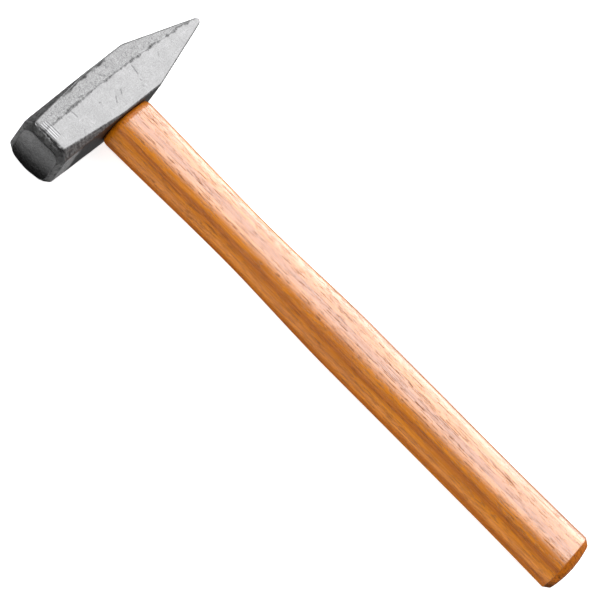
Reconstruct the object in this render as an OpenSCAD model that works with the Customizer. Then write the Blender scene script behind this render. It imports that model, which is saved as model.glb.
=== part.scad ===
// Cross peen engineer's hammer, lying on one cheek.
// +X runs along the handle to its butt, +Y along the head to the peen, +Z is up.
// The origin is on the lower cheek, under the point where the handle's axis crosses the head's.

/* [Head] */
// Length of the head, from the striking face to the peen's edge
head_l = 121.5; // [110:0.5:132]
// Width and height of the square body
body_w = 27; // [25:0.5:31]
// Distance from the striking face to the handle's axis
face_to_eye = 54.5; // [48:0.5:60]
// Distance from the handle's axis to the start of the peen's taper
peen_start = 20.8; // [18:0.1:26]
// Radius of the peen's edge
peen_r = 2.1; // [1.2:0.1:3.5]
// Small bevel along every long edge of the forging
edge_break = 0.7; // [0.3:0.1:1.2]

/* [Striking face] */
// Crown radius of the striking face
crown_r = 60; // [40:5:200]
// Corner bevel of the body where it meets the face's bevel
corner_bevel = 4.4; // [3:0.1:6]
// Length over which the corner bevels run out toward the eye
corner_run = 42; // [25:1:48]
// Width of the face's bevel at the middle of each side, measured across the head
face_bevel_w = 3.3; // [2:0.1:4.5]
// Half-width of the face toward its rounded corners
face_corner_r = 12.4; // [11.5:0.1:13]
// Depth of the bevel around the face, measured along the head
face_bevel_d = 3.7; // [2:0.1:4.5]

/* [Eye] */
// Long width of the eye at its waist, along the head
eye_waist_l = 22.5; // [20:0.1:24]
// Short width of the eye at its waist
eye_waist_w = 14; // [12:0.1:15]
// How much wider the eye is at its two mouths than at its waist
eye_flare = 2.2; // [1:0.1:3]

/* [Handle] */
// Length of the hammer, from the head's top to the handle's butt
total_l = 321.5; // [290:0.5:360]
// Width of the grip, along the head's direction
grip_w = 31.4; // [28:0.1:34]
// Thickness of the grip
grip_t = 21.9; // [19:0.1:24]
// Size at the shoulder under the head, as a share of the grip
shoulder_share = 0.962; // [0.92:0.001:1]
// Size at the waist, as a share of the grip
waist_share = 0.889; // [0.8:0.001:1]
// Size at the butt, as a share of the grip
butt_share = 1.045; // [1:0.001:1.12]
// Length of the bevel around the butt
butt_bevel = 3.2; // [1:0.1:5]
// How far the butt's end is domed
butt_dome = 1.8; // [0.5:0.1:3]

/* [Wedges] */
// Thickness of the wooden wedge at the head's top
wood_wedge_t = 3.4; // [2.5:0.1:4.5]
// Length of the wooden wedge
wood_wedge_l = 21; // [17:0.5:23]
// Thickness of the steel wedge at the head's top
steel_wedge_t = 3; // [2:0.1:4]
// Length of the steel wedge
steel_wedge_l = 15; // [12:0.5:16]
// Width of the steel wedge
steel_wedge_w = 11; // [9:0.5:12]

/* [Hidden] */

half_w = body_w / 2;
face_y = -face_to_eye;
tip_y = head_l - face_to_eye;
bevel_y = face_y + face_bevel_d;
peen_centre_y = tip_y - peen_r;
peen_rise = peen_centre_y - peen_start;

// Half-angle of the peen: its flanks leave the body's edges and touch the edge radius.
peen_angle = atan(half_w / peen_rise) - asin(peen_r / norm([half_w, peen_rise]));
tip_arc_steps = 14;

// How fast the corner bevels shrink along the head
corner_slope = (corner_bevel - edge_break) / corner_run;

// Half-space cutters are cubes of this size.
cutter = 300;
crown_slab = 12;

// Flat bevels that run from the body's outline down to the rounded face
face_sides = 16;

// Rings of points around the eye, the tenon and the handle
ring_points = 48;
eye_steps = 8;
eye_margin = 2;
eye_power = 2.5;
grip_power = 2.5;

// Stations along the handle's axis
shoulder_x = half_w;
shoulder_round = 4.5;
shoulder_shrink = 0.1;
shoulder_steps = 5;
waist_x = 92;
swell_x = 164;
flare_x = 254;
butt_x = total_l - half_w;
grip_end = butt_x - butt_dome - butt_bevel;
grip_steps = 30;
butt_shrink = 0.15;
dome_steps = 4;

wood_wedge_tip = 0.7;
steel_wedge_tip = 0.9;
barb_depth = 0.35;
barb_pitch = 3.2;
barb_count = 3;

steel = "#c6c7c8";
wood = "#e0a565";
wedge_wood = "#b98452";
wedge_steel = "#8e9092";

// A number from 0 to 1 that leaves and arrives level
function ease(t) = t * t * (3 - 2 * t);

// Where x lies between a and b, from 0 to 1
function share(x, a, b) = min(1, max(0, (x - a) / (b - a)));

// Angle from the nearest side of the square body, from 0 to 45
function fold(angle) = min(angle % 90, 90 - angle % 90);

// How far the body reaches in one direction across the head, at the bevel
function body_reach(angle) =
    half_w * cos(fold(angle)) + (half_w - corner_bevel) * sin(fold(angle));

// How far the face reaches in that direction
function face_reach(angle) = fold(angle) == 0 ? half_w - face_bevel_w : face_corner_r;

// One ring of a rounded rectangle with half-widths along Y and Z, at one x
function oval_ring(x, half_y, half_z, power) = [
    for (i = [0 : ring_points - 1])
        let (
            angle = 360 * (i + 0.5) / ring_points,
            c = cos(angle),
            s = sin(angle)
        )
        [
            x,
            half_y * sign(c) * pow(abs(c), 2 / power),
            half_z * sign(s) * pow(abs(s), 2 / power)
        ]
];

// The eye narrows from both mouths to its waist.
function eye_widening(x) = eye_flare * pow(min(1, abs(x) / half_w), 2);

function eye_ring(x) = oval_ring(
    x,
    (eye_waist_l + eye_widening(x)) / 2,
    (eye_waist_w + eye_widening(x)) / 2,
    eye_power
);

eye_rings = [
    for (i = [0 : eye_steps])
        eye_ring(-half_w + body_w * i / eye_steps)
];

// Size of the handle at x, as a share of the grip
function handle_share(x) =
    shoulder_share
    + (waist_share - shoulder_share) * ease(share(x, shoulder_x, waist_x))
    + (1 - waist_share) * ease(share(x, waist_x, swell_x))
    + (butt_share - 1) * pow(share(x, flare_x, butt_x), 1.5);

function handle_ring(x, scale = 1) = oval_ring(
    x,
    grip_w / 2 * handle_share(x) * scale,
    grip_t / 2 * handle_share(x) * scale,
    grip_power
);

// The shoulder curves inward as a quarter ellipse.
shoulder_rings = [
    for (i = [0 : shoulder_steps - 1])
        let (angle = 90 * i / shoulder_steps)
        handle_ring(
            shoulder_x + shoulder_round * (1 - cos(angle)),
            1 - shoulder_shrink * (1 - sin(angle))
        )
];

grip_start = shoulder_x + shoulder_round;
grip_rings = [
    for (i = [0 : grip_steps])
        handle_ring(grip_start + (grip_end - grip_start) * i / grip_steps)
];

// The butt is bevelled, and its end is slightly domed down to a small flat.
dome_rings = [
    for (i = [0 : dome_steps])
        let (reach = 1 - 0.8 * i / dome_steps)
        handle_ring(butt_x - butt_dome * reach * reach, (1 - butt_shrink) * reach)
];

// Closes a list of rings into one solid.
module loft(rings) {
    last = len(rings) - 1;
    sides = [
        for (r = [0 : last - 1], i = [0 : ring_points - 1])
            let (
                j = (i + 1) % ring_points,
                a = r * ring_points,
                b = a + ring_points
            )
            each [[a + i, b + i, b + j], [a + i, b + j, a + j]]
    ];
    start_cap = [for (i = [0 : ring_points - 1]) i];
    end_cap = [for (i = [ring_points - 1 : -1 : 0]) last * ring_points + i];
    polyhedron(
        points = [for (ring = rings) each ring],
        faces = concat(sides, [start_cap, end_cap])
    );
}

// Everything beyond the plane through a point, on the side its normal points to
module beyond(point, normal) {
    tilt = acos(normal.z / norm(normal));
    turn = atan2(normal.y, normal.x);
    translate(point)
        rotate([0, tilt, turn])
            translate([-cutter / 2, -cutter / 2, 0])
                cube([cutter, cutter, cutter / 2]);
}

// Side view of the head: square body, tapering peen and its rounded edge
module head_outline() {
    tip_arc = [
        for (i = [0 : tip_arc_steps])
            let (angle = peen_angle + (180 - 2 * peen_angle) * i / tip_arc_steps)
            [peen_r * cos(angle), peen_centre_y + peen_r * sin(angle)]
    ];
    polygon(concat(
        [[-half_w, peen_start], [-half_w, face_y], [half_w, face_y], [half_w, peen_start]],
        tip_arc
    ));
}

// Corner bevels that run out toward the eye, and the light bevel on the long edges
module edge_cuts() {
    for (sx = [-1, 1], sz = [-1, 1]) {
        beyond(
            [sx * (half_w - corner_bevel), bevel_y, sz * half_w],
            [sx, -corner_slope, sz]
        );
        beyond([sx * (half_w - edge_break), 0, sz * half_w], [sx, 0, sz]);
        beyond(
            [sx * (half_w - edge_break), peen_start, sz * half_w],
            [sx * cos(peen_angle), sin(peen_angle), sz]
        );
    }
}

// Flat bevels around the striking face, one for each of its sides
module face_bevels() {
    for (i = [0 : face_sides - 1])
        let (
            angle = 360 * i / face_sides,
            reach = body_reach(angle),
            width = reach - face_reach(angle)
        )
        beyond(
            [reach * cos(angle), bevel_y, reach * sin(angle)],
            [face_bevel_d * cos(angle), -width, face_bevel_d * sin(angle)]
        );
}

// What lies outside the crown of the striking face
module crown_cut() {
    difference() {
        translate([-body_w, face_y - 1, -body_w])
            cube([2 * body_w, crown_slab, 2 * body_w]);
        translate([0, face_y + crown_r, 0])
            sphere(r = crown_r, $fn = 96);
    }
}

// Straight-sided wedge in the tenon: thick at the head's top, thin at its end
module wedge_blade(thick, tip, length, width) {
    rotate([90, 0, 0])
        linear_extrude(height = width, center = true)
            polygon([
                [-half_w, -thick / 2],
                [-half_w + length, -tip / 2],
                [-half_w + length, tip / 2],
                [-half_w, thick / 2]
            ]);
}

module wood_wedge_blade() {
    wedge_blade(wood_wedge_t, wood_wedge_tip, wood_wedge_l, 2 * body_w);
}

module steel_wedge_blade() {
    rotate([90, 0, 0])
        wedge_blade(steel_wedge_t, steel_wedge_tip, steel_wedge_l, steel_wedge_w);
}

module head() {
    color(steel)
        translate([0, 0, half_w])
            difference() {
                linear_extrude(height = body_w, center = true)
                    head_outline();
                edge_cuts();
                face_bevels();
                crown_cut();
                loft(concat(
                    [eye_ring(-half_w - eye_margin)],
                    eye_rings,
                    [eye_ring(half_w + eye_margin)]
                ));
            }
}

module handle() {
    color(wood)
        translate([0, 0, half_w])
            difference() {
                union() {
                    loft(eye_rings);
                    loft(concat(shoulder_rings, grip_rings, dome_rings));
                }
                wood_wedge_blade();
                steel_wedge_blade();
            }
}

module wooden_wedge() {
    color(wedge_wood)
        translate([0, 0, half_w])
            difference() {
                intersection() {
                    loft(eye_rings);
                    wood_wedge_blade();
                }
                steel_wedge_blade();
            }
}

// The steel wedge has shallow notches across its faces, so that it can't work loose.
module steel_wedge() {
    slope = atan((steel_wedge_t - steel_wedge_tip) / 2 / steel_wedge_l);
    color(wedge_steel)
        translate([0, 0, half_w])
            difference() {
                steel_wedge_blade();
                for (side = [-1, 1], i = [1 : barb_count])
                    translate([-half_w, side * steel_wedge_t / 2, 0])
                        rotate([0, 0, -side * slope])
                            translate([i * barb_pitch, 0, 0])
                                rotate([0, 0, 45])
                                    cube([barb_depth, barb_depth, body_w], center = true);
            }
}

head();
handle();
wooden_wedge();
steel_wedge();
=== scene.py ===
"""Looks of a cross peen hammer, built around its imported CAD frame. Until a mesh is placed, lengths
are in millimetres and z is measured from the handle's axis. Materials use millimetres in the row
frame, where z starts at the lower cheek. The studio's lengths are in metres."""
import math
import random

import bmesh
import bpy
import numpy as np
from mathutils import Matrix, Vector, noise


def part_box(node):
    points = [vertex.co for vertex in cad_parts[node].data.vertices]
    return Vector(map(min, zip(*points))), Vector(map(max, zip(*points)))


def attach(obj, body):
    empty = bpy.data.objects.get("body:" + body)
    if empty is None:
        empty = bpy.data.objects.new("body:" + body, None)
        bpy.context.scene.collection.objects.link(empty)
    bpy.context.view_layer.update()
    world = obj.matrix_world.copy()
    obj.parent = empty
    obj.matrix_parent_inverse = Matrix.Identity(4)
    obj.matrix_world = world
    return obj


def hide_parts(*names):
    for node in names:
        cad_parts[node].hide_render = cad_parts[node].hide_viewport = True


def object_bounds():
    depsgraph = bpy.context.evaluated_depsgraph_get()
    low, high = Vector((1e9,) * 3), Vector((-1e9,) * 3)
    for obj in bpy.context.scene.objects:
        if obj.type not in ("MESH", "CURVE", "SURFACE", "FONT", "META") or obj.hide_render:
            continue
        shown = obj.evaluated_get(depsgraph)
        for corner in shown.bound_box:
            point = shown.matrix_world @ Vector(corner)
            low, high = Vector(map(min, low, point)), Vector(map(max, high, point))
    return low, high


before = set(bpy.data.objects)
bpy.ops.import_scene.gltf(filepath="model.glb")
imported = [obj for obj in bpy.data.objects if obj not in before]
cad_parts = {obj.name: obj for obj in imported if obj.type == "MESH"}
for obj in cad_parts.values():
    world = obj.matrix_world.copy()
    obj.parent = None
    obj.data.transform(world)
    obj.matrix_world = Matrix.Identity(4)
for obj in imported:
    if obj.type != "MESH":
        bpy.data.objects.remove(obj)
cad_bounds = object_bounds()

MM = 0.001

# ---- Measures of the CAD model ----
head_lo, head_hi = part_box("head")
_, handle_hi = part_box("handle")
HALF_W = (head_hi.z - head_lo.z) / 2 / MM
MID_Z = (head_hi.z + head_lo.z) / 2 / MM
FACE_Y = head_lo.y / MM
TIP_Y = head_hi.y / MM
BUTT_X = handle_hi.x / MM

PEEN_START = 20.8
PEEN_R = 2.1
EDGE_BREAK = 0.7
CROWN_R = 60.0
CORNER_BEVEL = 4.4
CORNER_RUN = 42.0
BEVEL_D = 3.7

EYE_L = 22.5
EYE_W = 14.0
EYE_FLARE = 2.2
OVAL_POWER = 2.5

GRIP_W = 31.4
GRIP_T = 21.9
SHOULDER_SHARE = 0.962
WAIST_SHARE = 0.889
BUTT_SHARE = 1.045
BUTT_BEVEL = 3.2
BUTT_DOME = 1.8
BUTT_SHRINK = 0.15
SHOULDER_SHRINK = 0.1
WAIST_X = 92.0
SWELL_X = 164.0
FLARE_X = 254.0

WOOD_WEDGE = {"thick": 3.4, "tip": 0.7, "length": 21.0}
STEEL_WEDGE = {"thick": 3.0, "tip": 0.9, "length": 15.0, "width": 11.0}
BARB_PITCH = 3.2

# ---- Where the looks leave the CAD to follow the photograph ----
# The striking face is rounder than the CAD's: once softened, its sides are about 0.5 mm and its
# corners 1.1 mm further in, but its lower side is 0.5 mm further out. The butt's end leans, and the
# shoulder's radius is 1.1 mm smaller.
FACE_MID = 10.95
FACE_POWER = 4.2
FACE_FULLER = 0.9
BUTT_SKEW = 0.045
SHOULDER_ROUND = 3.4

# ---- Measures of the looks alone ----
# The ridge on the cheeks is a shallow bow along Y: its least x, the y of that, and how fast it bends
RIDGE_X = -4.3
RIDGE_Y = -2.0
RIDGE_BEND = 0.00055
# The patch of file cuts: where it fades in and where it fades out, along X and along Y
FILED_X = (-7.2, -6.2, 2.2, 3.6)
FILED_Y = (-50.2, -49.6, -45.0, -44.2)
FILE_PITCH = 1.35
# Clear of the eye: the tenon's end below the head's top, its sides, and its root past the underside
TENON_RECESS = 0.35
TENON_GAP = 0.12
TENON_ROOT = 0.02
# Clearance of the wedges' slots, and the length of the wooden one's cutter, more than the tenon's
SLOT_GAP = 0.05
SLOT_WIDTH = 40.0
# How squarely a surface has to face along an axis to count as a cheek or a flank
FLAT = (0.93, 0.985)
EYE_WEAR = 0.35
# The wood's growth rings: the centre of the tree, seen along the handle, and their spacing
PITH_Y = -58.0
PITH_Z = -46.0
RING_SPACING = 9.0

PEEN_CENTRE = TIP_Y - PEEN_R
PEEN_RISE = PEEN_CENTRE - PEEN_START
PEEN_ANGLE = math.atan(HALF_W / PEEN_RISE) - math.asin(PEEN_R / math.hypot(HALF_W, PEEN_RISE))
BEVEL_Y = FACE_Y + BEVEL_D
CORNER_SLOPE = (CORNER_BEVEL - EDGE_BREAK) / CORNER_RUN


# ---- Small helpers ----
def smooth(value, low, high):
    """0 below low, 1 above high, eased between them."""
    t = np.clip((value - low) / (high - low), 0, 1)
    return t * t * (3 - 2 * t)


def fade(value, marks):
    """0 outside a stretch and 1 inside it; marks say where it fades in and where it fades out."""
    return smooth(value, marks[0], marks[1]) * (1 - smooth(value, marks[2], marks[3]))


def fractal(points, size, octaves=3, seed=0.0):
    """Smooth noise of roughly -1 to 1 at each point; size is the length of its largest lumps."""
    shift = Vector((seed, seed * 1.7, seed * 2.3))
    total = np.zeros(len(points))
    for octave in range(octaves):
        scale = 2**octave / size
        values = [noise.noise(Vector(p) * scale + shift) for p in points]
        total += np.array(values) * 0.6**octave
    return total


def closed_mesh(name, corners, faces, weld=True):
    """A mesh of points and faces with its normals outward; weld merges points that coincide."""
    mesh = bpy.data.meshes.new(name)
    mesh.from_pydata(corners, [], faces)
    bm = bmesh.new()
    bm.from_mesh(mesh)
    if weld:
        bmesh.ops.remove_doubles(bm, verts=bm.verts, dist=0.004)
        bmesh.ops.dissolve_degenerate(bm, edges=bm.edges, dist=0.001)
    bmesh.ops.recalc_face_normals(bm, faces=bm.faces)
    bm.to_mesh(mesh)
    bm.free()
    return mesh


def loft(name, rings, ring_points):
    """A closed mesh through rings of points. Rings may shrink to a line or a point at the ends."""
    co = np.array(rings, float).reshape(-1, 3)
    first = np.arange(ring_points)
    after = (first + 1) % ring_points
    faces = []
    for a in range(0, len(co) - ring_points, ring_points):
        b = a + ring_points
        faces.append(np.stack([a + first, a + after, b + after, b + first], 1))
    mesh = closed_mesh(name, co.tolist(), np.concatenate(faces).tolist())
    mesh.shade_smooth()
    return mesh


def soften(rings, rounds):
    """Rounds the corners of a grid of rings by averaging each point with its neighbours. The first
    and last rings stay as they are."""
    grid = np.array(rings, float)
    for _ in range(rounds):
        around = (np.roll(grid, 1, 1) + np.roll(grid, -1, 1)) / 2
        along = grid.copy()
        along[1:-1] = (grid[:-2] + grid[2:]) / 2
        mean = (around + along) / 2
        new = grid + 0.5 * (mean - grid)
        new[0] = grid[0]
        new[-1] = grid[-1]
        grid = new
    return grid


def coordinates(mesh):
    co = np.empty(len(mesh.vertices) * 3)
    mesh.vertices.foreach_get("co", co)
    return co.reshape(-1, 3)


def normals(mesh):
    out = np.empty(len(mesh.vertices) * 3, np.float32)
    mesh.vertex_normals.foreach_get("vector", out)
    return out.reshape(-1, 3).astype(float)


def set_coordinates(mesh, co):
    mesh.vertices.foreach_set("co", co.ravel())
    mesh.update()


def layer(mesh, name, values):
    """Stores one number a vertex under a name that the materials read."""
    attribute = mesh.attributes.new(name, "FLOAT", "POINT")
    attribute.data.foreach_set("value", np.asarray(values, np.float32))


def place(mesh, name, material, node):
    mesh.transform(Matrix.Translation((0, 0, MID_Z)))
    mesh.transform(Matrix.Scale(MM, 4))
    piece = bpy.data.objects.new(name, mesh)
    bpy.context.scene.collection.objects.link(piece)
    mesh.materials.clear()
    mesh.materials.append(material)
    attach(piece, "root")
    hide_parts(node)


def cut(mesh, tools):
    """Takes the tool meshes away from a mesh and returns what is left."""
    body = bpy.data.objects.new("cut_body", mesh)
    bpy.context.scene.collection.objects.link(body)
    helpers = []
    for tool in tools:
        helper = bpy.data.objects.new("cut_tool", tool)
        bpy.context.scene.collection.objects.link(helper)
        helpers.append(helper)
        modifier = body.modifiers.new("cut", "BOOLEAN")
        modifier.operation = "DIFFERENCE"
        modifier.solver = "EXACT"
        modifier.object = helper
    bpy.context.view_layer.update()
    evaluated = body.evaluated_get(bpy.context.evaluated_depsgraph_get())
    result = bpy.data.meshes.new_from_object(evaluated)
    for item in [body] + helpers:
        bpy.data.objects.remove(item)
    return result


def oval(x, half_y, half_z, count):
    """One ring of the CAD's rounded rectangle."""
    angle = 2 * math.pi * (np.arange(count) + 0.5) / count
    c = np.cos(angle)
    s = np.sin(angle)
    power = 2 / OVAL_POWER
    y = half_y * np.sign(c) * np.abs(c) ** power
    z = half_z * np.sign(s) * np.abs(s) ** power
    return np.stack([np.full(count, float(x)), y, z], 1)


def eye_half(x):
    """Half sizes of the eye at x, along Y and Z."""
    wider = EYE_FLARE * min(1, abs(x) / HALF_W) ** 2
    return (EYE_L + wider) / 2, (EYE_W + wider) / 2


# ---- Head ----
SIDE_STEPS = 52
CHEEK_STEPS = 84
CUT_STEPS = 9
FACE_RINGS = 44
BEVEL_RINGS = 12
EYE_POINTS = 96
STATION_STEP = 0.52
SOFTEN_ROUNDS = 7
STEEL_LAYERS = ("cheek", "band", "face", "flank", "nick", "filed", "crust_and_shade", "bevel")


def octagon(y, half_x, cut_size):
    """One ring of the head's section: a rectangle with cut corners, with points in fixed shares."""
    inner_x = half_x - cut_size
    inner_z = HALF_W - cut_size
    corners = [
        (half_x, -inner_z), (half_x, inner_z), (inner_x, HALF_W), (-inner_x, HALF_W),
        (-half_x, inner_z), (-half_x, -inner_z), (-inner_x, -HALF_W), (inner_x, -HALF_W),
    ]
    counts = [SIDE_STEPS, CUT_STEPS, CHEEK_STEPS, CUT_STEPS] * 2
    ring = []
    for i, count in enumerate(counts):
        a = np.array(corners[i])
        b = np.array(corners[(i + 1) % len(corners)])
        for k in range(count):
            x, z = a + (b - a) * k / count
            ring.append((x, y, z))
    return np.array(ring)


def corner_cut(y):
    """Size of the chamfers along the head's four long edges, which run out toward the peen."""
    return np.maximum(EDGE_BREAK, CORNER_BEVEL - CORNER_SLOPE * (y - BEVEL_Y))


def peen_half(y):
    """Half-width of the head across the handle's direction, from the body to the peen's edge."""
    tangent = PEEN_CENTRE + PEEN_R * math.sin(PEEN_ANGLE)
    if y <= PEEN_START:
        return HALF_W
    if y <= tangent:
        return HALF_W - (y - PEEN_START) * math.tan(PEEN_ANGLE)
    return math.sqrt(max(0.0, PEEN_R**2 - (y - PEEN_CENTRE) ** 2))


def crown_depth(radius):
    return CROWN_R - np.sqrt(CROWN_R**2 - radius**2)


def face_rings():
    """Rings from the centre of the crowned face out to the end of its bevel."""
    outline = octagon(BEVEL_Y, HALF_W, CORNER_BEVEL)
    angle = np.arctan2(outline[:, 2], outline[:, 0])
    c = np.abs(np.cos(angle))
    s = np.abs(np.sin(angle))
    reach = FACE_MID / (c**FACE_POWER + s**FACE_POWER) ** (1 / FACE_POWER)
    reach += FACE_FULLER * np.maximum(0, -np.sin(angle)) ** 5
    rings = []
    for step in np.linspace(0, 1, FACE_RINGS) ** 0.8:
        radius = reach * step
        y = FACE_Y + crown_depth(radius)
        rings.append(np.stack([radius * np.cos(angle), y, radius * np.sin(angle)], 1))
    inner = rings[-1]
    for step in np.linspace(0, 1, BEVEL_RINGS)[1:-1]:
        rings.append(inner + (outline - inner) * step)
    return rings


def ridge_x(y):
    """Where the ground part of a cheek ends and its forged upper band begins."""
    return RIDGE_X + RIDGE_BEND * (y - RIDGE_Y) ** 2


# Nicks in the upper cheek: their start and end, as (x, y) pairs, and their strength
NICKS = [
    ((-3.0, -30.8), (1.2, -30.4), 0.8), ((-2.2, 15.4), (2.6, 14.4), 1.0),
    ((4.6, -5.1), (7.3, -7.4), 0.9), ((3.4, 0.1), (5.4, -1.4), 0.9),
    ((2.0, -14.9), (2.6, -14.6), 1.0), ((5.4, 13.0), (6.0, 13.3), 0.8),
    ((8.2, 11.2), (9.0, 11.8), 0.6), ((-8.4, -3.0), (-6.2, -1.0), 0.8),
    ((-10.4, 4.2), (-8.8, 3.2), 0.7), ((-6.0, -22.0), (-5.2, -19.6), 0.6),
    ((0.4, 33.0), (2.0, 31.6), 0.5), ((7.8, -33.0), (9.8, -34.4), 0.4),
]


def nick_depth(points, nicks):
    """How deep each point lies in the nicks, from 0 to 1."""
    depth = np.zeros(len(points))
    for start, end, strength in nicks:
        a = np.array(start)
        run = np.array(end) - a
        offset = points[:, :2] - a
        t = np.clip(offset @ run / (run @ run), 0, 1)
        away = np.linalg.norm(offset - t[:, None] * run, axis=1)
        depth = np.maximum(depth, strength * (1 - smooth(away, 0.08, 0.45)))
    return depth


def stray_nicks():
    """Invented nicks for the lower cheek, in the same form."""
    rng = random.Random(11)
    nicks = []
    for _ in range(14):
        x = rng.uniform(-9, 10)
        y = rng.uniform(-46, 30)
        turn = rng.uniform(0, math.pi)
        run = rng.uniform(0.6, 3.2)
        end = (x + run * math.cos(turn), y + run * math.sin(turn))
        nicks.append(((x, y), end, rng.uniform(0.4, 1)))
    return nicks


def file_marks(points):
    """Four parallel file cuts beside the striking face, as a signed wave."""
    y = points[:, 1]
    wave = np.sin((y - FILED_Y[1]) * 2 * math.pi / FILE_PITCH)
    return wave * fade(points[:, 0], FILED_X) * fade(y, FILED_Y)


def head_rings():
    """Rings from the centre of the striking face to the line of the peen's edge."""
    stations = list(np.arange(BEVEL_Y, PEEN_CENTRE, STATION_STEP))
    for angle in np.linspace(0, math.pi / 2, 15):
        y = PEEN_CENTRE + PEEN_R * math.sin(angle)
        if y > stations[-1] + 0.1:
            stations.append(y)
    rings = face_rings()
    for y in stations:
        half_x = peen_half(y)
        rings.append(octagon(y, half_x, min(corner_cut(y), half_x * 0.45)))
    return rings


def eye_cutter():
    """The flared eye as a closed mesh that reaches out of the head, its rims a little worn."""
    outside = [-HALF_W - 2, -HALF_W - 0.01]
    rings = []
    for x in np.concatenate([outside, np.linspace(-HALF_W, HALF_W, 25), [HALF_W + 2]]):
        half_y, half_z = eye_half(x)
        worn = EYE_WEAR * float(smooth(abs(x), HALF_W - 0.8, HALF_W + 0.2))
        rings.append(oval(x, half_y + worn, half_z + worn, EYE_POINTS))
    first, last = [np.tile(ring.mean(0), (EYE_POINTS, 1)) for ring in (rings[0], rings[-1])]
    return loft("eye_mesh", [first] + rings + [last], EYE_POINTS)


def build_head():
    """The forging: its surface is marked and sunk by noise, and then the eye is cut through it."""
    grid = soften(head_rings(), SOFTEN_ROUNDS)
    mesh = loft("head_mesh", grid, len(grid[0]))
    co = coordinates(mesh)
    up = normals(mesh)
    x, y, z = co.T
    top = z > 0
    cheek = smooth(np.abs(up[:, 2]), *FLAT)
    face = smooth(-up[:, 1], 0.9, 0.96)
    flank = smooth(np.abs(up[:, 0]), *FLAT)
    skin = 1 - cheek

    edge = ridge_x(y) + 0.5 * fractal(co, 5.0, 2, 3.0)
    band = smooth(edge - x, 0.0, 1.2) * cheek
    nick = np.where(top, nick_depth(co, NICKS), 0) * cheek
    nick += np.where(top, 0, nick_depth(co, stray_nicks())) * cheek
    filed = np.where(top, file_marks(co), 0) * cheek

    rough_rim = fractal(co * np.array([1, 2.2, 1]), 2.6, 3, 21.0)
    groove = np.exp(-(((y - BEVEL_Y - 0.1) / 0.95) ** 2)) * smooth(np.abs(z), 11.5, 12.6)
    groove = groove * smooth(rough_rim, -0.80, 0.05)
    bevel = (1 - smooth(y, BEVEL_Y - 0.2, BEVEL_Y + 0.5)) * (1 - face) * (1 - cheek)
    ragged = fractal(co * np.array([1, 0.6, 1]), 3.0, 3, 31.0)
    cheek_half = HALF_W - corner_cut(y)
    crust = 1 - smooth(cheek_half + x + 1.1 * ragged, 0.5, 1.5)
    crust = crust * smooth(y + 5 * ragged, -33.0, -22.0)
    crust = crust * (1 - smooth(y + 4 * ragged, 2.0, 11.0)) * cheek
    # Mask for near-black: painted shade in the groove where the cheeks meet the face's bevel, dark
    # forging crust along the cheeks' top edge, and dark patches on the bevel
    crust_and_shade = np.clip(groove + 0.95 * crust + 0.5 * bevel * smooth(rough_rim, 0.0, 0.5), 0, 1)

    lumps = 0.5 + 0.5 * fractal(co, 16.0, 2, 7.0)
    dents = np.abs(fractal(co, 4.5, 3, 9.0))
    sink = 0.05 * lumps * cheek + skin * (0.16 * lumps + 0.10 * dents)
    sink = sink * (1 - 0.6 * face)
    sink += band * (0.10 + 0.030 * np.maximum(0, edge - x) + 0.05 * dents)
    sink += 0.10 * nick + 0.06 * np.maximum(0, filed) + 0.30 * groove + 0.18 * crust
    sink += 0.10 * bevel * np.maximum(0, rough_rim)
    set_coordinates(mesh, co - up * np.maximum(0, sink)[:, None])
    for name, values in zip(STEEL_LAYERS, (cheek, band, face, flank, nick, filed, crust_and_shade, bevel)):
        layer(mesh, name, values)
    return cut(mesh, [eye_cutter()])


# ---- Handle ----
HANDLE_POINTS = 144


def handle_share(x):
    """Size of the handle's section at x, as a share of the grip's."""
    flare = min(1.0, max(0.0, (x - FLARE_X) / (BUTT_X - FLARE_X)))
    return (
        SHOULDER_SHARE
        + (WAIST_SHARE - SHOULDER_SHARE) * smooth(x, HALF_W, WAIST_X)
        + (1 - WAIST_SHARE) * smooth(x, WAIST_X, SWELL_X)
        + (BUTT_SHARE - 1) * flare**1.5
    )


def handle_ring(x, scale=1.0):
    size = handle_share(x) * scale
    return oval(x, GRIP_W / 2 * size, GRIP_T / 2 * size, HANDLE_POINTS)


def tenon_rings():
    """Rings of the tenon, from its end at the head's top to the head's underside."""
    rings = []
    end = -HALF_W + TENON_RECESS
    half_y, half_z = eye_half(end)
    for step in np.linspace(0, 1, 16)[:-1]:
        rings.append(oval(end, (half_y - 0.5) * step, (half_z - 0.5) * step, HANDLE_POINTS))
    # Two rings round the rim of the tenon's end: how far in from the eye, and how far down it
    for inset, back in ((0.38, 0.03), (0.2, 0.15)):
        rings.append(oval(end + back, half_y - inset, half_z - inset, HANDLE_POINTS))
    for x in np.linspace(end + 0.4, HALF_W + TENON_ROOT, 30):
        half_y, half_z = eye_half(x)
        rings.append(oval(x, half_y - TENON_GAP, half_z - TENON_GAP, HANDLE_POINTS))
    return rings


def butt_rings(start):
    """Rings of the bevelled and slightly domed butt."""
    rings = []
    rim = BUTT_X - BUTT_DOME
    for step in np.linspace(0, 1, 9)[1:]:
        x = start + (rim - start) * step
        rings.append(handle_ring(x, 1 - BUTT_SHRINK * step))
    for reach in np.linspace(1, 0, 26)[1:]:
        rings.append(handle_ring(BUTT_X - BUTT_DOME * reach**2, (1 - BUTT_SHRINK) * reach))
    return rings


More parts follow.
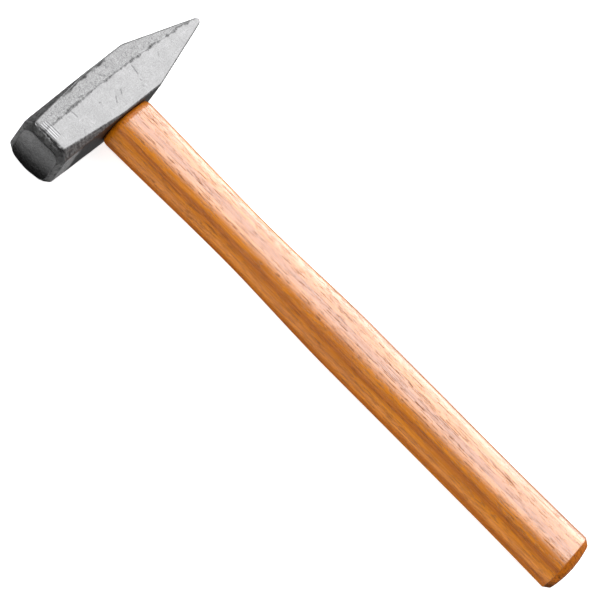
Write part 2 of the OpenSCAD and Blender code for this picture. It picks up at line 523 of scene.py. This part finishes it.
def handle_rings(bevel_start):
    """Rings of the whole handle, from the tenon's end to the middle of the butt."""
    rings = tenon_rings()
    ledge = rings[-1]
    root = HALF_W + TENON_ROOT
    shoulder = handle_ring(root, 1 - SHOULDER_SHRINK)
    for step in (0.35, 0.7):
        rings.append(ledge + (shoulder - ledge) * step)
    for angle in np.linspace(0, math.pi / 2, 12)[:-1]:
        x = root + SHOULDER_ROUND * (1 - math.cos(angle))
        rings.append(handle_ring(x, 1 - SHOULDER_SHRINK * (1 - math.sin(angle))))
    for x in np.arange(HALF_W + SHOULDER_ROUND, bevel_start, 1.1):
        rings.append(handle_ring(x))
    rings.append(handle_ring(bevel_start))
    return rings + butt_rings(bevel_start)


def build_handle():
    """The handle, slightly uneven, with a ragged lip at the head and both wedges' slots cut."""
    bevel_start = BUTT_X - BUTT_DOME - BUTT_BEVEL
    grid = soften(handle_rings(bevel_start), 1)
    mesh = loft("handle_mesh", grid, HANDLE_POINTS)
    co = coordinates(mesh)
    out = normals(mesh)
    x = co[:, 0]
    grip = smooth(x, HALF_W + 1, HALF_W + 12)
    end_grain = smooth(np.abs(out[:, 0]), 0.35, 0.75)
    end_grain = np.maximum(end_grain, smooth(x, bevel_start - 0.1, bevel_start + 0.5))
    around = np.stack([x * 0.02, co[:, 1], co[:, 2]], 1)
    sweep = np.stack([x * 0.25, co[:, 1] * 0.6, co[:, 2] * 0.6], 1)
    sink = grip * (0.06 + 0.06 * fractal(sweep, 14.0, 2, 1.0) + 0.02 * fractal(around, 2.2, 2, 5.0))
    co = co - out * np.maximum(0, sink)[:, None]
    skew = smooth(x, bevel_start - 20, BUTT_X)
    co[:, 0] -= BUTT_SKEW * co[:, 1] * skew
    fibres = fractal(np.stack([co[:, 1], co[:, 2], x * 0.1], 1), 1.3, 3, 2.0)
    lip = fade(x, (HALF_W + 0.01, HALF_W + 0.4, HALF_W + 2.5, HALF_W + 6))
    co[:, 0] += lip * 0.22 * np.maximum(0, fibres)
    co = co - out * (lip * 0.14 * np.maximum(0, fibres))[:, None]
    co[:, 0] = np.minimum(co[:, 0], BUTT_X)
    set_coordinates(mesh, co)
    layer(mesh, "end_grain", end_grain)
    layer(mesh, "near_head", 1 - smooth(x, HALF_W + 0.5, HALF_W + 5.5))
    wood_slot = wedge_blade("wood_slot", WOOD_WEDGE, SLOT_WIDTH, False)
    steel_slot = wedge_blade("steel_slot", STEEL_WEDGE, STEEL_WEDGE["width"], True)
    return cut(mesh, [wood_slot, steel_slot])


# ---- Wedges ----
WEDGE_POINTS = 120


def wedge_blade(name, wedge, width, across):
    """A plain wedge-shaped cutter, a little larger than the wedge all round."""
    above = 3
    start = -HALF_W - above
    end = -HALF_W + wedge["length"] + SLOT_GAP
    slope = (wedge["thick"] - wedge["tip"]) / wedge["length"]
    thick = wedge["thick"] + above * slope + 2 * SLOT_GAP
    tip = wedge["tip"] + 2 * SLOT_GAP
    half = width / 2 + SLOT_GAP
    corners = []
    for x, size in ((start, thick), (end, tip)):
        for side, reach in ((-1, -1), (1, -1), (1, 1), (-1, 1)):
            a = side * size / 2
            b = reach * half
            corners.append((x, a, b) if across else (x, b, a))
    faces = [(0, 1, 2, 3), (7, 6, 5, 4), (0, 4, 5, 1), (1, 5, 6, 2), (2, 6, 7, 3), (3, 7, 4, 0)]
    return closed_mesh(name, corners, faces, weld=False)


def slab_ring(x, half_y, half_z, radius):
    """One ring of a rectangle with rounded corners, its points evenly spaced."""
    straight_y = half_y - radius
    straight_z = half_z - radius
    arc = math.pi * radius / 2
    total = 4 * (straight_y + straight_z + arc)
    points = []
    for i in range(WEDGE_POINTS):
        d = total * i / WEDGE_POINTS
        for quarter in range(4):
            turn = quarter * math.pi / 2
            run = 2 * (straight_z if quarter % 2 == 0 else straight_y)
            sx = 1 if quarter in (0, 3) else -1
            sz = 1 if quarter in (0, 1) else -1
            if d < run:
                sides = [
                    (half_y, -straight_z + d), (straight_y - d, half_z),
                    (-half_y, straight_z - d), (-straight_y + d, -half_z),
                ]
                points.append((x,) + sides[quarter])
                break
            d -= run
            if d < arc:
                angle = turn + d / radius
                y = sx * straight_y + radius * math.cos(angle)
                z = sz * straight_z + radius * math.sin(angle)
                points.append((x, y, z))
                break
            d -= arc
        else:
            points.append(points[0])
    return np.array(points)


def wedge_rings(wedge, half_wide, recess, across):
    """Rings of a wedge: a subdivided end face at the head's top, then its length. half_wide gives
    half its width at x, and across turns it so that the width runs along Z."""
    start = -HALF_W + recess
    end = -HALF_W + wedge["length"]
    slope = (wedge["thick"] - wedge["tip"]) / wedge["length"]
    rings = []

    def ring(x, scale):
        thick = (wedge["thick"] - (x + HALF_W) * slope) / 2
        wide = half_wide(x)
        sizes = (thick, wide) if across else (wide, thick)
        flat = slab_ring(x, sizes[0], sizes[1], 0.3)
        flat[:, 1:] *= scale
        return flat

    for scale in np.linspace(0, 0.94, 12):
        rings.append(ring(start, scale))
    rings.append(ring(start + 0.1, 0.99))
    for x in np.linspace(start + 0.35, end, 40):
        rings.append(ring(x, 1.0))
    for scale in np.linspace(1, 0, 5)[1:]:
        rings.append(ring(end, scale))
    return rings


def build_wooden_wedge():
    def half_wide(x):
        return eye_half(min(x, HALF_W))[0] - 0.18

    rings = wedge_rings(WOOD_WEDGE, half_wide, 0.2, False)
    mesh = loft("wooden_wedge_mesh", rings, WEDGE_POINTS)
    co = coordinates(mesh)
    out = normals(mesh)
    ends = smooth(-out[:, 0], 0.5, 0.9)
    crushed = fractal(co * np.array([0.2, 1, 1]), 1.2, 3, 4.0)
    co[:, 0] += ends * 0.18 * np.maximum(0, crushed)
    set_coordinates(mesh, co)
    layer(mesh, "end_grain", ends)
    layer(mesh, "near_head", np.zeros(len(co)))
    steel_slot = wedge_blade("steel_slot", STEEL_WEDGE, STEEL_WEDGE["width"], True)
    return cut(mesh, [steel_slot])


def build_steel_wedge():
    rings = wedge_rings(STEEL_WEDGE, lambda _: STEEL_WEDGE["width"] / 2, 0.03, True)
    mesh = loft("steel_wedge_mesh", rings, WEDGE_POINTS)
    co = coordinates(mesh)
    out = normals(mesh)
    ends = smooth(-out[:, 0], 0.5, 0.9)
    dents = np.abs(fractal(co, 2.4, 3, 6.0))
    co[:, 0] += ends * 0.22 * dents
    depth = co[:, 0] + HALF_W
    half_pitch = BARB_PITCH / 2
    notch = np.maximum(0, 1 - np.abs((depth + half_pitch) % BARB_PITCH - half_pitch) / 0.3)
    notch = notch * fade(depth, (2.0, 2.6, 10.5, 11.0)) * smooth(np.abs(out[:, 1]), 0.7, 0.9)
    co = co - out * (0.22 * notch)[:, None]
    set_coordinates(mesh, co)
    for name in STEEL_LAYERS:
        layer(mesh, name, np.zeros(len(co)))
    return mesh


# ---- Materials ----
class Graph:
    """Adds nodes to one tree. A value may be a number or another node's output."""

    def __init__(self, tree):
        self.nodes = tree.nodes
        self.links = tree.links

    def feed(self, socket, value):
        if isinstance(value, bpy.types.NodeSocket):
            self.links.new(value, socket)
        else:
            socket.default_value = value

    def stretch(self, vector, scale, turn=(0, 0, 0), shift=(0, 0, 0)):
        item = self.nodes.new("ShaderNodeMapping")
        self.feed(item.inputs["Vector"], vector)
        item.inputs["Scale"].default_value = scale
        item.inputs["Rotation"].default_value = turn
        item.inputs["Location"].default_value = shift
        return item.outputs["Vector"]

    def noise(self, vector, scale, detail=4.0, rough=0.55):
        item = self.nodes.new("ShaderNodeTexNoise")
        self.feed(item.inputs["Vector"], vector)
        item.inputs["Scale"].default_value = scale
        item.inputs["Detail"].default_value = detail
        item.inputs["Roughness"].default_value = rough
        return item.outputs["Fac"]

    def calc(self, kind, a, b=0.0, c=0.0):
        item = self.nodes.new("ShaderNodeMath")
        item.operation = kind
        for socket, value in zip(item.inputs, (a, b, c)):
            self.feed(socket, value)
        return item.outputs[0]

    def times(self, a, b):
        return self.calc("MULTIPLY", a, b)

    def plus(self, a, b):
        return self.calc("ADD", a, b)

    def minus(self, a, b):
        return self.calc("SUBTRACT", a, b)

    def most(self, a, b):
        return self.calc("MAXIMUM", a, b)

    def power(self, a, b):
        return self.calc("POWER", a, b)

    def line(self, value, gain, offset):
        """A value times a gain, plus an offset."""
        return self.calc("MULTIPLY_ADD", value, gain, offset)

    def remap(self, value, low, high, out_low=0.0, out_high=1.0):
        """Eases a value from one range into another, and holds it there."""
        item = self.nodes.new("ShaderNodeMapRange")
        item.interpolation_type = "SMOOTHSTEP"
        for socket, number in zip(item.inputs, (value, low, high, out_low, out_high)):
            self.feed(socket, number)
        return item.outputs["Result"]

    def ramp(self, value, stops):
        item = self.nodes.new("ShaderNodeValToRGB")
        self.feed(item.inputs["Fac"], value)
        elements = item.color_ramp.elements
        while len(elements) < len(stops):
            elements.new(0.5)
        for element, (position, color) in zip(elements, stops):
            element.position = position
            element.color = (*color, 1)
        return item.outputs["Color"]

    def blend(self, share, a, b, kind="MIX"):
        item = self.nodes.new("ShaderNodeMix")
        item.data_type = "RGBA"
        item.blend_type = kind
        self.feed(item.inputs["Factor"], share)
        for socket, value in zip((item.inputs["A"], item.inputs["B"]), (a, b)):
            self.feed(socket, (*value, 1) if isinstance(value, tuple) else value)
        return item.outputs["Result"]

    def choose(self, share, a, b):
        """A plain number between a and b."""
        item = self.nodes.new("ShaderNodeMix")
        for key, value in (("Factor", share), ("A", a), ("B", b)):
            self.feed(item.inputs[key], value)
        return item.outputs["Result"]

    def attribute(self, name):
        item = self.nodes.new("ShaderNodeAttribute")
        item.attribute_name = name
        return item.outputs["Fac"]

    def split(self, vector):
        item = self.nodes.new("ShaderNodeSeparateXYZ")
        self.feed(item.inputs[0], vector)
        return item.outputs

    def join(self, x, y, z):
        item = self.nodes.new("ShaderNodeCombineXYZ")
        for socket, value in zip(item.inputs, (x, y, z)):
            self.feed(socket, value)
        return item.outputs[0]

    def bump(self, height, strength, distance):
        item = self.nodes.new("ShaderNodeBump")
        self.feed(item.inputs["Height"], height)
        item.inputs["Strength"].default_value = strength
        item.inputs["Distance"].default_value = distance
        return item.outputs["Normal"]


class Surface(Graph):
    """A node material; its place is where a point lies, in millimetres of object coordinates."""

    def __init__(self, name):
        self.material = bpy.data.materials.new(name)
        self.material.use_nodes = True
        super().__init__(self.material.node_tree)
        self.shader = self.nodes["Principled BSDF"]
        source = self.nodes.new("ShaderNodeTexCoord").outputs["Object"]
        self.place = self.stretch(source, (1 / MM, 1 / MM, 1 / MM))

    def set(self, **values):
        """Feeds the shader's sockets, named with _ for each space."""
        for name, value in values.items():
            self.feed(self.shader.inputs[name.replace("_", " ")], value)


def dim(color, share):
    return tuple(share * c for c in color)


# Colours of marks in the steel, with painted shade and a painted reflection among them
# Bare steel; on the flank by the face it is partly a painted reflection
BARE_STEEL_AND_SHEEN = (0.86, 0.86, 0.865)
# Near-black of the flanks: partly forging scale, partly painted shade
SCALE_AND_SHADE_DARK = (0.05, 0.05, 0.052)
RIDGE_DARK = (0.020, 0.020, 0.021)
NICK_DARK = (0.06, 0.06, 0.062)
FILE_DARK = (0.10, 0.10, 0.105)
FILE_BRIGHT = (0.50, 0.50, 0.51)
SCRATCH_BRIGHT = (0.60, 0.60, 0.61)
# Near-black: painted shade in the groove by the face, and dark crust
CRUST_AND_SHADE_BLACK = (0.007, 0.007, 0.0075)


def steel_material(name, forged, ground, polished, forged_rough, ground_rough):
    """Steel with a dark forged skin, grey ground cheeks, and polish on the face and its bevel."""
    g = Surface(name)
    p = g.place
    cheek, band, face, flank, nick, filed, crust_and_shade, bevel = map(g.attribute, STEEL_LAYERS)
    patches = g.noise(p, 0.16, 4.0, 0.6)
    mottle = g.noise(p, 0.75, 5.0, 0.62)
    grit = g.noise(p, 2.4, 4.0, 0.66)
    rubbed = g.noise(g.stretch(p, (2.6, 0.10, 1.0), (0, 0, 0.45)), 1.0, 3.0, 0.5)
    crossed = g.noise(g.stretch(p, (0.22, 2.4, 1.0), (0, 0, -0.5)), 1.0, 3.0, 0.5)
    scratches = g.most(g.remap(rubbed, 0.60, 0.70), g.remap(crossed, 0.61, 0.70))

    x, y, _ = g.split(p)
    bow = g.times(g.power(g.minus(y, RIDGE_Y), 2.0), RIDGE_BEND)
    wander = g.noise(g.stretch(p, (0.5, 1.0, 0.0)), 0.16, 9.0, 0.74)
    ridge_at = g.plus(g.plus(bow, RIDGE_X), g.line(wander, 3.6, -1.8))
    away = g.calc("ABSOLUTE", g.minus(x, ridge_at))
    broken = g.remap(g.noise(g.stretch(p, (0.4, 1.0, 0.0)), 0.21, 4.0, 0.65), 0.34, 0.66)
    wide = g.line(broken, 1.05, 0.34)
    ridge = g.remap(g.calc("DIVIDE", away, wide), 0.2, 1.0, 1.0, 0.0)
    ridge = g.times(ridge, g.line(broken, 0.50, 0.50))
    ridge = g.times(ridge, g.remap(grit, 0.30, 0.60, 1.0, 0.45))
    ridge = g.times(ridge, cheek)

    # A lighter patch of bare steel on the flanks toward the striking face, mostly on +X: partly
    # wear, partly painted reflection
    worn = g.remap(g.line(patches, 10.0, y), -32.0, -38.0)
    worn = g.times(worn, g.remap(mottle, 0.30, 0.55, 0.55, 1.0))
    worn = g.times(worn, g.remap(x, -5.0, 5.0, 0.25, 1.0))
    shiny = g.most(face, g.times(bevel, g.remap(mottle, 0.36, 0.58, 0.55, 1.0)))
    flank_wear_and_sheen = g.times(flank, worn)
    flank_scale_and_shade = g.minus(flank, flank_wear_and_sheen)
    shiny = g.most(shiny, flank_wear_and_sheen)
    clean = g.most(cheek, shiny)
    skin = g.ramp(mottle, [(0.38, dim(forged, 0.36)), (0.62, forged)])
    bright = g.ramp(mottle, [(0.30, dim(ground, 0.86)), (0.66, ground)])
    gleam = g.ramp(mottle, [(0.30, dim(polished, 0.84)), (0.66, polished)])
    color = g.blend(shiny, g.blend(cheek, skin, bright), gleam)
    # Bare steel colour on that flank patch, partly painted reflection, and on the bevel where it is
    # rubbed
    rubbed_wear_and_sheen = g.most(g.times(flank_wear_and_sheen, 0.9), g.times(bevel, 0.42))
    color = g.blend(rubbed_wear_and_sheen, color, BARE_STEEL_AND_SHEEN)
    # The rest of the flanks goes near-black: partly forging scale, partly painted shade
    color = g.blend(g.times(flank_scale_and_shade, 0.72), color, SCALE_AND_SHADE_DARK)
    dull = g.remap(patches, 0.35, 0.65, 0.93, 1.0)
    grain = g.remap(grit, 0.34, 0.62, 0.75, 1.08)
    # In the forged upper band the colour is darker and coarser: partly its unground skin, partly
    # painted shade
    shade = g.times(dull, grain)
    coarse = g.remap(mottle, 0.36, 0.50, 0.76, 1.02)
    coarse = g.times(g.remap(grit, 0.36, 0.56, 0.70, 1.04), coarse)
    band_skin_and_shade = g.line(band, g.minus(coarse, 1.05), 1.0)
    shade = g.times(shade, band_skin_and_shade)
    color = g.blend(1.0, color, g.join(shade, shade, shade), "MULTIPLY")
    color = g.blend(g.times(ridge, 0.98), color, RIDGE_DARK)
    color = g.blend(g.times(nick, 0.80), color, NICK_DARK)
    color = g.blend(g.remap(filed, 0.10, 0.55, 0.0, 0.85), color, FILE_DARK)
    color = g.blend(g.remap(filed, -0.7, -0.1, 0.75, 0.0), color, FILE_BRIGHT)
    scratched = g.times(scratches, g.times(cheek, 0.14))
    color = g.blend(scratched, color, SCRATCH_BRIGHT)
    lines = g.noise(g.stretch(p, (1.6, 0.12, 1.6)), 1.0, 3.0, 0.6)
    bare = g.times(g.remap(lines, 0.57, 0.66), g.minus(1.0, clean))
    color = g.blend(g.times(bare, 0.45), color, ground)
    # Near-black: painted shade in the sunk groove by the face's bevel, and dark crust and patches
    # elsewhere
    crust_and_shade_share = g.times(crust_and_shade, g.remap(grit, 0.30, 0.62, 1.0, 0.74))
    color = g.blend(crust_and_shade_share, color, CRUST_AND_SHADE_BLACK)

    rough = g.line(clean, ground_rough - forged_rough, forged_rough)
    rough = g.plus(rough, g.line(mottle, 0.22, -0.11))
    rough = g.plus(rough, g.times(ridge, 0.25))
    rough = g.plus(rough, g.times(band, 0.05))
    rough = g.minus(rough, g.times(face, 0.19))
    rough = g.plus(rough, g.times(bevel, 0.12))

    relief = g.line(mottle, 0.7, g.times(grit, 0.45))
    relief = g.times(relief, g.line(clean, -0.62, 1.0))
    relief = g.minus(relief, g.times(ridge, 0.6))
    relief = g.minus(relief, g.times(scratches, 0.10))
    relief = g.minus(relief, g.times(nick, 0.3))
    g.set(Base_Color=color, Metallic=1.0, Roughness=rough, Normal=g.bump(relief, 0.8, 0.0002))
    return g.material


def wood_material(name, pale, deep, dark_grain_and_shade, coat, streak):
    """Straight-grained ash: growth bands, fibres, pores and dark end grain. coat is how much
    varnish lies on it, and streak how strongly its fibres show."""
    g = Surface(name)
    p = g.place
    end_grain = g.attribute("end_grain")
    near_head = g.attribute("near_head")
    _, y, z = g.split(p)
    drift = g.noise(g.stretch(p, (0.009, 0.02, 0.02)), 1.0, 2.0)
    sway = g.noise(g.stretch(p, (0.035, 0.10, 0.10)), 1.0, 3.0, 0.55)
    far_y = g.minus(y, PITH_Y)
    far_z = g.minus(z, PITH_Z)
    rings = g.calc("SQRT", g.plus(g.power(far_y, 2.0), g.power(far_z, 2.0)))
    rings = g.plus(rings, g.line(drift, 3.6, 4.4))
    rings = g.plus(rings, g.times(sway, 1.2))
    band = g.calc("FRACT", g.calc("DIVIDE", rings, RING_SPACING))
    late = g.remap(band, 0.40, 0.68)
    late = g.times(late, g.remap(band, 0.76, 0.95, 1.0, 0.0))

    fibre = g.noise(g.stretch(p, (0.018, 1.9, 1.9)), 1.0, 4.0, 0.6)
    hair = g.noise(g.stretch(p, (0.07, 4.2, 4.2)), 1.0, 2.0, 0.5)
    cloud = g.noise(g.stretch(p, (0.022, 0.16, 0.16)), 1.0, 3.0)
    rows = g.noise(g.stretch(p, (0.012, 3.7, 3.7)), 1.0, 0.0)
    dashes = g.noise(g.stretch(p, (0.24, 2.2, 2.2), shift=(9.0, 4.0, 2.0)), 1.0, 0.0)
    pore_where = g.noise(g.stretch(p, (0.05, 0.30, 0.30)), 1.0, 2.0)
    early = g.remap(band, 0.50, 0.10, 0.0, 1.0)
    level = g.line(early, -0.05, 0.72)
    level = g.line(pore_where, -0.32, level)
    pores = g.remap(g.minus(rows, level), -0.01, 0.04)
    pores = g.times(pores, g.remap(dashes, 0.48, 0.58))

    color = g.ramp(late, [(0.0, pale), (1.0, deep)])
    color = g.blend(g.remap(cloud, 0.38, 0.68, 0.0, 0.40), color, deep)
    tint = g.remap(fibre, 0.30, 0.70, 1.0 - streak, 1.0 + streak * 0.4)
    tint = g.times(tint, g.remap(hair, 0.3, 0.7, 0.93, 1.05))
    warm_tint = g.join(tint, g.power(tint, 1.3), g.power(tint, 1.6))
    color = g.blend(1.0, color, warm_tint, "MULTIPLY")
    # Darker, deeper orange next to the head, ragged along the fibres: painted shade where the handle
    # meets the head
    head_shade = g.times(near_head, g.remap(fibre, 0.35, 0.62, 0.45, 1.0))
    color = g.blend(g.times(head_shade, 0.75), color, dark_grain_and_shade)
    color = g.blend(g.times(pores, 0.70), color, dim(dark_grain_and_shade, 0.35))
    dots = g.noise(g.stretch(p, (0.5, 1.1, 1.1)), 1.0, 4.0, 0.65)
    # End grain: speckled, and darker towards low z, the bottom
    end_tone_by_height = g.plus(dots, g.remap(z, 8.0, 21.0, -0.16, 0.07))
    ends = g.ramp(end_tone_by_height, [(0.38, dim(dark_grain_and_shade, 0.16)), (0.60, dark_grain_and_shade)])
    color = g.blend(g.times(end_grain, 0.92), color, ends)

    open_grain = g.most(g.times(pores, 0.8), end_grain)
    rough = g.remap(fibre, 0.3, 0.7, 0.42, 0.56)
    relief = g.times(fibre, 0.55)
    relief = g.plus(relief, g.times(hair, 0.20))
    relief = g.plus(relief, g.times(cloud, 0.3))
    relief = g.minus(relief, g.times(pores, 1.3))
    g.set(Base_Color=color, Roughness=rough, IOR=1.55, Normal=g.bump(relief, 0.55, 0.0001))
    g.set(Specular_IOR_Level=0.03)
    if coat:
        coat_rough = g.remap(cloud, 0.3, 0.7, 0.18, 0.24)
        coat_rough = g.plus(coat_rough, g.times(open_grain, 0.30))
        thin = g.remap(g.line(fibre, 0.9, near_head), 0.75, 1.05, 1.0, 0.15)
        thin = g.times(thin, g.line(open_grain, -0.96, 1.0))
        thin = g.times(thin, g.remap(hair, 0.34, 0.54, 0.70, 1.0))
        g.set(Coat_Weight=g.times(thin, coat), Coat_IOR=2.3)
        g.set(Coat_Roughness=coat_rough, Coat_Normal=g.bump(relief, 0.30, 0.0001))
    return g.material


forged_steel = steel_material(
    "forged_steel",
    forged=(0.235, 0.235, 0.237),
    ground=(0.268, 0.268, 0.270),
    polished=(0.63, 0.63, 0.635),
    forged_rough=0.46,
    ground_rough=0.40,
)
wedge_steel = steel_material(
    "wedge_steel",
    forged=(0.40, 0.40, 0.41),
    ground=(0.45, 0.45, 0.45),
    polished=(0.45, 0.45, 0.45),
    forged_rough=0.45,
    ground_rough=0.45,
)
varnished_wood = wood_material(
    "varnished_wood",
    pale=(0.63, 0.205, 0.006),
    deep=(0.43, 0.116, 0.002),
    dark_grain_and_shade=(0.40, 0.105, 0.003),
    coat=1.0,
    streak=0.28,
)
wedge_wood = wood_material(
    "wedge_wood",
    pale=(0.52, 0.30, 0.13),
    deep=(0.38, 0.20, 0.08),
    dark_grain_and_shade=(0.30, 0.15, 0.06),
    coat=0.0,
    streak=0.25,
)

place(build_head(), "hammer_head", forged_steel, "head")
place(build_handle(), "hammer_handle", varnished_wood, "handle")
place(build_wooden_wedge(), "wood_wedge_driven", wedge_wood, "wooden_wedge")
place(build_steel_wedge(), "steel_wedge_driven", wedge_steel, "steel_wedge")


# ---- Studio ----
# The camera was fitted to the photograph's outlines; it looks at a point on the handle's mid-plane.
TARGET = Vector((130.97 * MM, -1.42 * MM, 13.5 * MM))
CAMERA_LENS = 211.2
CAMERA_AZIMUTH = 4.999
CAMERA_ELEVATION = 48.982
CAMERA_DISTANCE = 1.63365
CAMERA_ROLL = 41.359
FLOOR_GAP = 0.0003
FLOOR_RADIUS = 10.0
FLOOR_GLOW = 0.74
WORLD_LIGHT = 0.45

scene = bpy.context.scene


def turned(direction, roll=0.0):
    """A rotation whose -Z axis looks back along a direction, level and then rolled."""
    frame_of = direction.to_track_quat("Z", "Y").to_matrix().to_4x4()
    return frame_of @ Matrix.Rotation(math.radians(roll), 4, "Z")


def toward(azimuth, elevation):
    """Unit vector from the hammer; azimuth 0 is the -Y side, and it grows toward +X."""
    a = math.radians(azimuth)
    e = math.radians(elevation)
    return Vector((math.sin(a) * math.cos(e), -math.cos(a) * math.cos(e), math.sin(e)))


def add_camera():
    data = bpy.data.cameras.new("camera")
    data.lens = CAMERA_LENS
    data.sensor_width = 36.0
    data.clip_end = 60.0
    camera = bpy.data.objects.new("camera", data)
    direction = toward(CAMERA_AZIMUTH, CAMERA_ELEVATION)
    stand = Matrix.Translation(TARGET + direction * CAMERA_DISTANCE)
    camera.matrix_world = stand @ turned(direction, CAMERA_ROLL)
    scene.collection.objects.link(camera)
    scene.camera = camera


def add_light(name, azimuth, elevation, distance, size, radiance, diffuse=True, glossy=True):
    """A soft rectangular lamp that faces the hammer; radiance is the brightness of its surface."""
    data = bpy.data.lights.new(name, "AREA")
    data.shape = "RECTANGLE"
    data.size, data.size_y = size
    data.energy = radiance * math.pi * size[0] * size[1]
    lamp = bpy.data.objects.new(name, data)
    direction = toward(azimuth, elevation)
    lamp.matrix_world = Matrix.Translation(TARGET + direction * distance) @ turned(direction)
    lamp.visible_camera = False
    lamp.visible_diffuse = diffuse
    lamp.visible_glossy = glossy
    scene.collection.objects.link(lamp)


def add_world():
    """White behind the hammer, soft light from all round, and dim surroundings for it to mirror."""
    world = bpy.data.worlds.new("studio")
    world.use_nodes = True
    g = Graph(world.node_tree)
    background = g.nodes["Background"]
    background.inputs["Color"].default_value = (1, 1, 1, 1)
    rays = g.nodes.new("ShaderNodeLightPath").outputs
    x, y, z = g.split(g.nodes.new("ShaderNodeTexCoord").outputs["Generated"])
    # Mirrored light: dark straight below, brighter toward the horizon, to both sides and toward +Y
    horizon = g.plus(g.remap(z, -0.87, -0.745, 0.005, 0.13), g.remap(z, -0.80, -0.48, 0.0, 0.19))
    horizon = g.times(horizon, g.remap(g.calc("ABSOLUTE", x), 0.08, 0.45, 1.0, 1.45))
    horizon = g.times(horizon, g.remap(y, 0.80, 0.97, 1.0, 2.0))
    # On the striking face's side it is dark again, except low down
    front = g.remap(y, 0.1, -0.3, 0.0, 1.0)
    above = g.remap(z, -0.56, -0.40, 0.0, 1.0)
    mirrored = g.times(horizon, g.line(g.times(front, above), -0.93, 1.0))
    lit = g.choose(rays["Is Glossy Ray"], WORLD_LIGHT, mirrored)
    g.feed(background.inputs["Strength"], g.choose(rays["Is Camera Ray"], lit, 1.0))
    scene.world = world


def add_floor():
    """A large pale disc just under the hammer."""
    mesh = bpy.data.meshes.new("floor")
    bm = bmesh.new()
    bmesh.ops.create_circle(bm, cap_ends=True, segments=96, radius=FLOOR_RADIUS)
    bm.to_mesh(mesh)
    bm.free()
    mesh.transform(Matrix.Translation((TARGET.x, 0, cad_bounds[0][2] - FLOOR_GAP)))
    floor = bpy.data.objects.new("floor", mesh)
    scene.collection.objects.link(floor)
    g = Surface("pale_floor")
    speckle = g.noise(g.place, 0.02, 3.0)
    tone = g.remap(speckle, 0.3, 0.7, 0.72, 0.75)
    g.set(Base_Color=g.join(tone, tone, tone), Roughness=0.9)
    g.set(Emission_Color=(1, 1, 1, 1), Emission_Strength=FLOOR_GLOW)
    mesh.materials.append(g.material)
    floor.visible_glossy = False


add_camera()
add_world()
add_floor()
add_light("key", 184.0, 43.0, 1.5, (2.1, 2.95), 1.1)
add_light("key_core", 184.0, 36.0, 1.5, (2.1, 2.35), 1.7)
add_light("rim", 180.0, 15.0, 1.6, (2.4, 0.8), 1.1, diffuse=False)
add_light("fill", -25.0, 42.0, 1.8, (1.6, 1.2), 3.0, glossy=False)
scene.view_settings.view_transform = "Standard"
